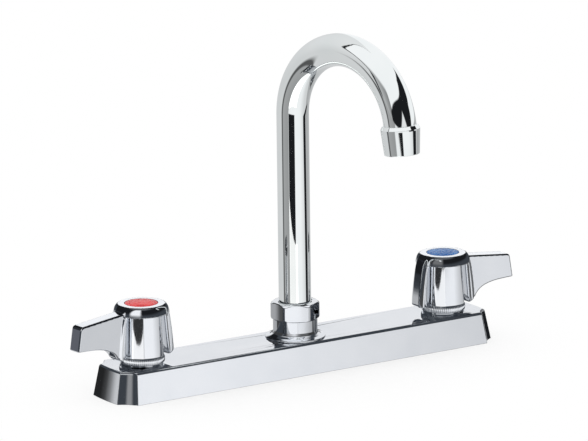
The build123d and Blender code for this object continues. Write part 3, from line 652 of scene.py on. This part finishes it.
# Index discs, slightly crowned
index_profile = soften([
    (0, RIM_Z - INDEX_THICK, 0), (INDEX_R, RIM_Z - INDEX_THICK, 0.2), (INDEX_R, RIM_Z + 0.02, 0.35),
    (7.0, RIM_Z + 0.26, 3.0), (0, RIM_Z + 0.48, 0),
], 6, closed=False)
crown = [(6.4 * (1 - t), RIM_Z + 0.28 + 0.2 * (1 - (1 - t) ** 2)) for t in np.linspace(0, 1, 12)[1:]]
index_profile = np.concatenate((index_profile[:-1], crown))

for name, way, facing, slot in (("hot", -1, 180.0 + HOT_REST, "red_index"), ("cold", 1, 0.0, "blue_index")):
    x = way * CENTRES / 2
    swing = math.radians(facing)
    spin = np.array(((math.cos(swing), -math.sin(swing), 0), (math.sin(swing), math.cos(swing), 0), (0, 0, 1)))
    moved = canopy_points @ spin.T + np.array((x, 0, 0))
    body = f"{name}_lever"
    add_piece(f"{name}_canopy", moved, canopy_faces, cast_chrome, body, [f"{name}_handle"],
              normals=canopy_normals @ spin.T)
    sleeve = turned(sleeve_profile, sleeve_places, (x, 0.0), ribbed)
    add_piece(f"{name}_sleeve_shell", *skin(sleeve), cast_chrome, "base", [f"{name}_sleeve"])
    disc = skin(turned(index_profile, 96, (x, 0.0)), closed=False)
    disc_piece = add_piece(f"{name}_index_disc", *disc, by_slot[slot], body, [f"{name}_index"], slot)
    disc_piece.visible_glossy = False


# Studio: camera, world, tents, floor and table tops. Lengths here are in metres
PHI = math.radians(32.79)
THETA = math.radians(13.34)
RHO = math.radians(-0.70)
TOWARDS_CAMERA = -(math.radians(90) + PHI)
CAMERA_PLACE = (-1.57050, -2.43792, 0.77259)
FOCAL_PX = 5285
PHOTO_PX = 588
SENSOR_MM = 36
FLOOR_HALF = 0.6
SHADE_HALF = (0.20, 0.12)
SHADE_FADE = (1.0, 0.35)
SHADE_SHARE = 0.35
SLATE = (0.050, 0.057, 0.067)
BLACK = (0.012, 0.013, 0.015)

level = Vector((math.cos(PHI), -math.sin(PHI), 0))
lift = Vector((math.sin(PHI) * math.sin(THETA), math.cos(PHI) * math.sin(THETA), math.cos(THETA)))
ahead = Vector((math.sin(PHI) * math.cos(THETA), math.cos(PHI) * math.cos(THETA), -math.sin(THETA)))
right = math.cos(RHO) * level + math.sin(RHO) * lift
upward = -math.sin(RHO) * level + math.cos(RHO) * lift
camera_data = bpy.data.cameras.new("camera")
camera = bpy.data.objects.new("camera", camera_data)
bpy.context.scene.collection.objects.link(camera)
camera.matrix_world = Matrix((*zip(right, upward, -ahead, CAMERA_PLACE), (0, 0, 0, 1)))
camera_data.sensor_width = SENSOR_MM
camera_data.sensor_fit = "HORIZONTAL"
camera_data.lens = FOCAL_PX * SENSOR_MM / PHOTO_PX
camera_data.clip_start = 0.05
camera_data.clip_end = 50
bpy.context.scene.camera = camera
bpy.context.scene.view_settings.view_transform = "Standard"


# Paint helpers: values and masks for shaders
def math_node(tree, kind, *values):
    """A maths node fed with numbers or sockets."""
    node = tree.nodes.new("ShaderNodeMath")
    node.operation = kind
    for socket, value in zip(node.inputs, values):
        if isinstance(value, (int, float)):
            socket.default_value = value
        else:
            tree.links.new(value, socket)
    return node.outputs[0]


def product(tree, first, *others):
    for other in others:
        first = math_node(tree, "MULTIPLY", first, other)
    return first


def share_of(tree, value, low, high, kind="LINEAR"):
    """Maps low to high onto 0 to 1."""
    node = tree.nodes.new("ShaderNodeMapRange")
    node.interpolation_type = kind
    node.inputs["From Min"].default_value = low
    node.inputs["From Max"].default_value = high
    tree.links.new(value, node.inputs["Value"])
    return node.outputs["Result"]


def level_of(tree, source, points):
    """A value that follows a line of (place, value) points."""
    low, high = points[0][0], points[-1][0]
    least = min(v for _, v in points)
    span = max(v for _, v in points) - least
    share = share_of(tree, source, low, high)
    line = ramp(tree, share, [((x - low) / (high - low), ((v - least) / span,)) for x, v in points])
    return math_node(tree, "MULTIPLY_ADD", line.outputs["Color"], span, least)


def between(tree, value, low, high, soft):
    """1 inside the range, 0 outside, with soft borders. A border of None is open."""
    sides = []
    for border, sign in ((low, 1), (high, -1)):
        if border is not None:
            gap = math_node(tree, "SUBTRACT", value, border)
            sides.append(share_of(tree, gap, -sign * soft, sign * soft, "SMOOTHSTEP"))
    return product(tree, *sides)


def plain(tree, colour):
    node = tree.nodes.new("ShaderNodeRGB")
    node.outputs[0].default_value = (*colour, 1)
    return node.outputs[0]


def grey(value):
    return (value, value * 1.01, value * 1.03)


def by_azimuth(tree, azimuth, points):
    stops = [((a + 180) / 360, grey(v)) for a, v in points]
    return ramp(tree, math_node(tree, "MULTIPLY_ADD", azimuth, 1 / 360, 0.5), stops).outputs["Color"]


def by_height(tree, height, points):
    stops = [((e + 90) / 180, grey(v)) for e, v in points]
    return ramp(tree, math_node(tree, "MULTIPLY_ADD", height, 1 / 180, 0.5), stops).outputs["Color"]


def paint_over(tree, under, colour, mask):
    mix = tree.nodes.new("ShaderNodeMix")
    mix.data_type = "RGBA"
    tree.links.new(mask, mix.inputs["Factor"])
    tree.links.new(under, mix.inputs["A"])
    if isinstance(colour, tuple):
        mix.inputs["B"].default_value = (*colour, 1)
    else:
        tree.links.new(colour, mix.inputs["B"])
    return mix.outputs["Result"]


def paint_patches(tree, shade, e, rows):
    """Rows of (colour, azimuth, its range, the range of elevation), each over those before. A range is for between."""
    for colour, azimuth, sides, heights in rows:
        mask = product(tree, between(tree, azimuth, *sides), between(tree, e, *heights))
        shade = paint_over(tree, shade, colour, mask)
    return shade


# Stage helpers: meshes round the object that only the metal sees
def stage_mesh(name, points, faces, material):
    mesh = bpy.data.meshes.new(name)
    mesh.from_pydata(points, [], faces)
    sheet = bpy.data.objects.new(name, mesh)
    bpy.context.scene.collection.objects.link(sheet)
    mesh.materials.append(material)
    return sheet


def light_layer(name):
    """A see-through layer that only adds light, so that tents can stand inside each other."""
    material = bpy.data.materials.new(name)
    material.use_nodes = True
    material.cycles.emission_sampling = "NONE"
    tree = material.node_tree
    tree.nodes.clear()
    light = tree.nodes.new("ShaderNodeEmission")
    clear = tree.nodes.new("ShaderNodeBsdfTransparent")
    total = tree.nodes.new("ShaderNodeAddShader")
    out = tree.nodes.new("ShaderNodeOutputMaterial")
    tree.links.new(light.outputs["Emission"], total.inputs[0])
    tree.links.new(clear.outputs["BSDF"], total.inputs[1])
    tree.links.new(total.outputs["Shader"], out.inputs["Surface"])
    return material, tree, light.inputs["Color"]


def only_seen_in_metal(sheet, receivers):
    sheet.visible_camera = False
    sheet.visible_diffuse = False
    sheet.visible_transmission = False
    sheet.visible_shadow = False
    sheet.light_linking.receiver_collection = receivers


def tent(name, receivers, paint, radius):
    """A dome that lights only the pieces given, painted by azimuth and elevation in degrees.

    Azimuth is 0 towards the place of the photo's camera and grows towards the picture's right.
    """
    material, tree, colour = light_layer(name)
    position = tree.nodes.new("ShaderNodeNewGeometry")
    turn = tree.nodes.new("ShaderNodeVectorRotate")
    turn.rotation_type = "Z_AXIS"
    turn.inputs["Angle"].default_value = -TOWARDS_CAMERA
    tree.links.new(position.outputs["Position"], turn.inputs["Vector"])
    parts = tree.nodes.new("ShaderNodeSeparateXYZ")
    tree.links.new(turn.outputs["Vector"], parts.inputs["Vector"])
    azimuth = math_node(tree, "ARCTAN2", parts.outputs["Y"], parts.outputs["X"])
    azimuth = math_node(tree, "MULTIPLY", azimuth, 180 / math.pi)
    height = math_node(tree, "DIVIDE", parts.outputs["Z"], radius)
    height = math_node(tree, "MULTIPLY", math_node(tree, "ARCSINE", height), 180 / math.pi)
    tree.links.new(paint(tree, azimuth, height), colour)
    ball = bmesh.new()
    bmesh.ops.create_icosphere(ball, subdivisions=5, radius=radius)
    ball.verts.index_update()
    points = [tuple(v.co) for v in ball.verts]
    faces = [[v.index for v in face.verts] for face in ball.faces]
    ball.free()
    only_seen_in_metal(stage_mesh(name, points, faces, material), receivers)


def group(name, members, include=True):
    """A collection for light linking, that takes its members in or leaves them out."""
    collection = bpy.data.collections.new(name)
    for member in members:
        collection.objects.link(bpy.data.objects[member])
    for row in collection.collection_objects:
        row.light_linking.link_state = "INCLUDE" if include else "EXCLUDE"
    return collection


def table_top(name, x, edge, receivers, height):
    """A fan round (x, 0), out to distances by azimuth from the camera."""
    material, tree, colour = light_layer(name)
    colour.default_value = (1, 1, 1, 1)
    points = [(x, 0.0, height)]
    for azimuth, reach in edge:
        a = TOWARDS_CAMERA + math.radians(azimuth)
        points.append((x + reach * math.cos(a), reach * math.sin(a), height))
    faces = [[0, k, k + 1] for k in range(1, len(edge))]
    only_seen_in_metal(stage_mesh(name, points, faces, material), receivers)


# World: white for the camera and for soft light, while the metal sees the tents below
world = bpy.data.worlds.new("studio")
bpy.context.scene.world = world
world.use_nodes = True
tree = world.node_tree
tree.nodes.clear()
path = tree.nodes.new("ShaderNodeLightPath")
background = tree.nodes.new("ShaderNodeBackground")
background.inputs["Color"].default_value = (1, 1, 1, 1)
tree.links.new(math_node(tree, "SUBTRACT", 1.0, path.outputs["Is Glossy Ray"]), background.inputs["Strength"])
output = tree.nodes.new("ShaderNodeOutputWorld")
tree.links.new(background.outputs["Background"], output.inputs["Surface"])


# Paints of the tents, with a for azimuth and e for elevation
def spout_paint(tree, a, e):
    shade = plain(tree, grey(1.0))

    # Left of the edge a grey arch, right of it a darker strip, and the edge itself black
    edge = level_of(tree, e, [
        (-20, -83), (0, -70), (13, -65), (22, -77), (30, -87), (47, -92), (58, -100), (68, -120), (90, -175),
    ])
    left = math_node(tree, "SUBTRACT", a, edge)
    arch = by_height(tree, e, [(-30, 0.70), (0, 0.70), (30, 0.80), (90, 0.85)])
    shade = paint_over(tree, shade, arch, between(tree, left, None, 0, 2))
    strip = by_azimuth(tree, a, [(-180, 0.5), (-66, 0.5), (-38, 0.25), (180, 0.25)])
    inner = product(tree, between(tree, left, 0, None, 2), between(tree, a, None, -36, 2), between(tree, e, -4, 21, 5))
    shade = paint_over(tree, shade, strip, inner)
    shade = paint_over(tree, shade, BLACK, between(tree, left, -2.2, 2.2, 1.2))

    # The dark opening under a slanting roof, with a light drop in its middle
    roof = level_of(tree, a, [
        (-60, -4), (-47, 1), (-36, 7), (-21, 16), (-8, 22), (6, 27),
        (35, 34), (64, 42), (86, 46), (104, 43), (133, 33), (160, 25),
    ])
    under = between(tree, math_node(tree, "SUBTRACT", e, roof), None, 0, 1.2)
    side = level_of(tree, e, [(-5, 80), (0, 85), (10, 90), (17, 93), (20, 105), (26, 118), (33, 134), (45, 140)])
    beside = between(tree, math_node(tree, "SUBTRACT", a, side), None, 0, 2)
    shade = paint_over(tree, shade, BLACK, product(tree, under, beside, between(tree, a, -44, None, 2)))
    beyond = math_node(tree, "SUBTRACT", math_node(tree, "ABSOLUTE", math_node(tree, "SUBTRACT", a, 30)), 15)
    drop = math_node(tree, "MULTIPLY_ADD", math_node(tree, "SUBTRACT", e, 4), 1.1, beyond)
    shade = paint_over(tree, shade, grey(0.85), between(tree, drop, None, 0, 3))

    # Below the horizon, with a black band that leans and widens, and a black wedge
    low = by_azimuth(tree, a, [
        (-180, 0.66), (-88, 0.70), (-83, 0.10), (-77, 0.10), (-73, 0.40), (-34, 0.34), (-29, 0.95), (14, 1.0),
        (50, 0.98), (88, 0.72), (104, 0.72), (110, 0.42), (180, 0.62),
    ])
    shade = paint_over(tree, shade, low, between(tree, e, None, -1.9, 0.7))
    line = math_node(tree, "SUBTRACT", math_node(tree, "MULTIPLY_ADD", e, 2.54, a), 62)
    width = level_of(tree, e, [(-40, 6), (-13, 11), (0, 18), (10, 18)])
    past = math_node(tree, "SUBTRACT", math_node(tree, "ABSOLUTE", line), width)
    band = product(tree, between(tree, past, None, 0, 1.5), between(tree, e, -22, 0, 1.5))
    shade = paint_over(tree, shade, BLACK, band)
    return paint_patches(tree, shade, e, [(BLACK, a, (-30, 12, 1), (-14.3, -9.5, 0.35))])


def canopy_paint(brow, side, low_points):
    """A canopy's paint: how bright its brow is, the row of the patch at its side, and the lowest part by azimuth."""
    def paint(tree, a, e):
        rear = math_node(tree, "ABSOLUTE", a)
        shade = plain(tree, SLATE)
        shade = paint_over(tree, shade, BLACK, between(tree, e, 14, 64, 8))
        shade = paint_over(tree, shade, grey(0.14), between(tree, e, 72, None, 10))
        colour, *ranges = side
        shade = paint_patches(tree, shade, e, (
            (colour, a, *ranges),  # the patch at its side
            (grey(brow), a, (-46, -2, 7), (10, 72, 9)),  # the brow
            (grey(1.0), rear, (168, None, 3), (4, 27, 2)),  # a window behind
        ))
        shade = paint_over(tree, shade, by_azimuth(tree, a, low_points), between(tree, e, None, -7.2, 1.2))
        return paint_patches(tree, shade, e, [(grey(0.18), a, (-60, 60, 8), (None, -18, 1.5))])
    return paint


hot_paint = canopy_paint(1.0, ((0.125, 0.130, 0.150), (-109, -92, 2), (-8, 6, 3)), [
    (-180, 0.62), (-100, 0.60), (-46, 0.90), (-36, 0.30), (8, 0.30), (11, 1.0),
    (50, 1.0), (57, 0.67), (100, 0.67), (117, 0.60), (180, 0.50),
])
cold_paint = canopy_paint(0.18, (BLACK, (-130, -80, 2), (-4, 14, 2.5)), [
    (-180, 0.55), (-110, 0.48), (-100, 0.30), (-90, 0.07), (50, 0.07), (57, 0.82),
    (76, 0.82), (84, 0.16), (125, 0.14), (145, 0.10), (180, 0.40),
])


def sleeve_paint(tree, a, e):
    low = by_azimuth(tree, a, [
        (-180, 0.62), (-110, 0.72), (-95, 0.82), (-80, 1.0), (-51, 1.0), (-46, 0.036), (10, 0.036), (14, 1.0),
        (66, 0.97), (84, 0.83), (100, 0.72), (117, 0.63), (141, 0.54), (180, 0.5),
    ])
    shade = paint_over(tree, plain(tree, SLATE), low, between(tree, e, None, -7.2, 0.8))
    return paint_patches(tree, shade, e, [(grey(0.85), a, (-60, 110, 8), (None, -19, 1.5))])


def base_paint(tree, a, e):
    rear = math_node(tree, "ABSOLUTE", a)
    front = by_azimuth(tree, a, [(-180, 0.95), (63, 0.95), (68, 0.66), (180, 0.66)])
    left_end = by_azimuth(tree, a, [
        (-180, 0.015), (-118, 0.02), (-113, 0.06), (-108, 0.25), (-103, 0.62), (180, 0.70),
    ])
    shade = paint_over(tree, plain(tree, SLATE), grey(0.5), between(tree, e, 68, None, 6))
    return paint_patches(tree, shade, e, (
        (grey(0.86), rear, (165, None, 4), (3, 25, 2)),  # a window behind
        (grey(0.70), a, (None, -128, 4), (None, 8, 1.5)),  # far left
        (grey(0.60), a, (-45, 60, 4), (10, 32, 2)),  # above the camera
        (grey(0.55), a, (-85, -54, 3), (None, 1, 1)),  # left
        (front, a, (16, 76, 2), (None, 7, 1.5)),  # what the front face shows
        (left_end, a, (-128, -85, 2), (None, 12, 2)),  # what the left end shows
        (grey(0.30), a, (-40, -20, 6), (None, 12, 2)),  # what the flute between them shows
        (BLACK, a, (80, 152, 3), (None, 4, 2)),  # right
        (grey(0.40), a, (95, 150, 4), (-1, 6, 1)),  # right, at the horizon
        (grey(0.60), a, (154, None, 3), (None, 3, 1.5)),  # far right
        (grey(0.28), a, (112, 150, 4), (8, 30, 3)),  # right, above the horizon
    ))


def nut_paint(tree, a, e):
    rear = math_node(tree, "ABSOLUTE", a)
    middle = by_azimuth(tree, a, [
        (-180, 0.05), (-48, 0.05), (-38, 0.30), (-8, 0.75), (0, 0.75),
        (15, 0.28), (30, 0.13), (60, 0.13), (75, 0.05), (180, 0.05),
    ])
    low = by_azimuth(tree, a, [
        (-180, 0.45), (-118, 0.42), (-111.8, 0.40), (-110.2, 0.10), (-107, 0.06), (-46, 0.05), (-42, 1.0),
        (9.5, 1.0), (12.4, 0.80), (16, 0.90), (27, 0.90), (44, 0.83), (61, 0.68), (80, 0.54), (97, 0.45),
        (103, 0.04), (106, 0.04), (112, 0.25), (135, 0.28), (180, 0.35),
    ])
    shade = paint_over(tree, plain(tree, SLATE), middle, between(tree, e, None, 12, 2))
    shade = paint_over(tree, shade, low, between(tree, e, None, -7, 2))
    return paint_patches(tree, shade, e, (
        (grey(1.0), a, (-104, 124, 8), (48, None, 7)),  # overhead
        (grey(0.86), rear, (145, None, 8), (3, 40, 2)),  # a window behind
        (BLACK, a, (None, -120, 4), (19, 45, 2)),  # a dark rim on its left
    ))


# Tents, one for each shot that the photo seems to be made of
tents = (
    ("spout", ["gooseneck", "aerator_shell"], spout_paint, 8.0),
    ("nut", ["union_nut", "socket_trim"], nut_paint, 9.0),
    ("hot", ["hot_canopy", "hot_index_disc"], hot_paint, 10.0),
    ("cold", ["cold_canopy", "cold_index_disc"], cold_paint, 11.0),
    ("sleeve", ["hot_sleeve_shell", "cold_sleeve_shell"], sleeve_paint, 7.0),
)
for name, members, paint, radius in tents:
    tent(f"{name}_tent", group(f"in_{name}_tent", members), paint, radius)
elsewhere = [member for _, members, _, _ in tents for member in members]
tent("base_tent", group("not_in_base_tent", elsewhere, include=False), base_paint, 12.0)

# Floor: white to the camera, darkened only where the object shades it, and less so away from the middle
floor_material = bpy.data.materials.new("floor")
floor_material.use_nodes = True
tree = floor_material.node_tree
tree.nodes.clear()
diffuse = tree.nodes.new("ShaderNodeBsdfDiffuse")
diffuse.inputs["Color"].default_value = (1, 1, 1, 1)
light = tree.nodes.new("ShaderNodeEmission")
mix = tree.nodes.new("ShaderNodeMixShader")
position = tree.nodes.new("ShaderNodeNewGeometry")
squash = tree.nodes.new("ShaderNodeVectorMath")
squash.operation = "MULTIPLY"
squash.inputs[1].default_value = (1 / SHADE_HALF[0], 1 / SHADE_HALF[1], 0)
tree.links.new(position.outputs["Position"], squash.inputs[0])
length = tree.nodes.new("ShaderNodeVectorMath")
length.operation = "LENGTH"
tree.links.new(squash.outputs["Vector"], length.inputs[0])
fade = share_of(tree, length.outputs["Value"], *SHADE_FADE, "SMOOTHSTEP")
tree.links.new(math_node(tree, "MULTIPLY", fade, SHADE_SHARE), mix.inputs["Fac"])
tree.links.new(light.outputs["Emission"], mix.inputs[1])
tree.links.new(diffuse.outputs["BSDF"], mix.inputs[2])
out = tree.nodes.new("ShaderNodeOutputMaterial")
tree.links.new(mix.outputs["Shader"], out.inputs["Surface"])
corners = [(sx * FLOOR_HALF, sy * FLOOR_HALF, 0) for sx, sy in ((-1, -1), (1, -1), (1, 1), (-1, 1))]
floor = stage_mesh("floor", corners, [[0, 1, 2, 3]], floor_material)
floor.visible_glossy = False

# Bright table tops that the metal sees close by, where they hide a tent's dark wedge. No two are at one height
spout_group = bpy.data.collections["in_spout_tent"]
table_top("spout_table", 0.0, [(-31, 0.44), (15.5, 0.309), (22, 0.309)], spout_group, 0.0004)
table_top("hot_table", -CENTRES / 2 * MM, [
    (-49, 0.262), (-46, 0.252), (-39, 0.238), (-33, 0.223), (-27, 0.208),
    (-6, 0.211), (1, 0.226), (5, 0.241), (8, 0.256), (11, 0.272),
], group("in_hot_table", ["hot_sleeve_shell"]), 0.0008)
table_top("cold_table", CENTRES / 2 * MM, [
    (-49, 0.250), (-46, 0.240), (-39, 0.231), (-27, 0.227), (-20, 0.246),
    (-15, 0.268), (-10, 0.305), (-6, 0.322), (11, 0.330),
], group("in_cold_table", ["cold_sleeve_shell"]), 0.0012)
